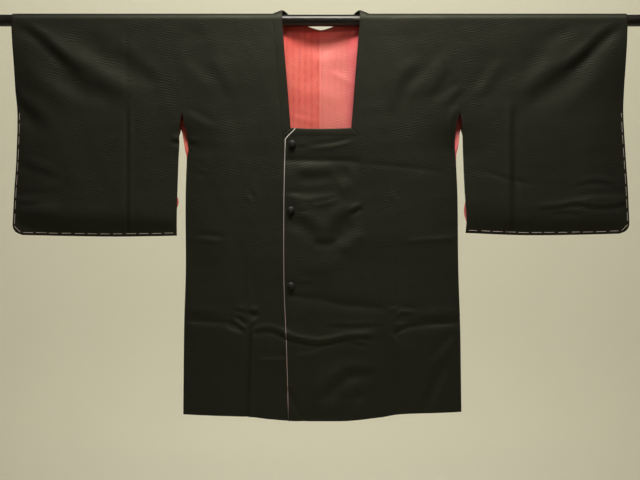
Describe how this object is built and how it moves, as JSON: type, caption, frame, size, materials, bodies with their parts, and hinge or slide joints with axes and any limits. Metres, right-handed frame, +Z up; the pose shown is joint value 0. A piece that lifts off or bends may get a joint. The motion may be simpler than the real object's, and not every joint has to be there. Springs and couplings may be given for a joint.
{
  "type": "michiyuki coat hanging on a round rod",
  "caption": "Michiyuki kimono coat in black figured silk with coral lining, square neck and buttoned overlap, spread on a round rod through its sleeves.",
  "frame": {"origin": "on the rod's axis, at the middle of the neck", "axes": "+X along the rod to the wearer's left, +Y to the coat's back, +Z up; the fronts face -Y"},
  "size_m": [1.4, 0.0399, 0.8689],
  "materials": {
    "black_silk": "soft satin figured silk",
    "coral_lining": "soft satin figured silk",
    "pale_piping": "matte silk",
    "covered_button": "satin",
    "rod_black": "gloss"
  },
  "bodies": {
    "root": {"rod": "rod_black", "body_left": "black_silk", "body_right": "black_silk", "sleeve_left": "black_silk", "sleeve_right": "black_silk", "lining_back_left": "coral_lining", "lining_back_right": "coral_lining", "lining_sleeve_left": "coral_lining", "lining_sleeve_right": "coral_lining", "neckband": "black_silk", "neckband_front_left": "black_silk", "neckband_front_right": "black_silk", "overlap_left": "black_silk", "overlap_right": "black_silk", "edge_piping": "pale_piping", "button_1": "covered_button", "button_2": "covered_button", "button_3": "covered_button"}
  },
  "joints": []
}
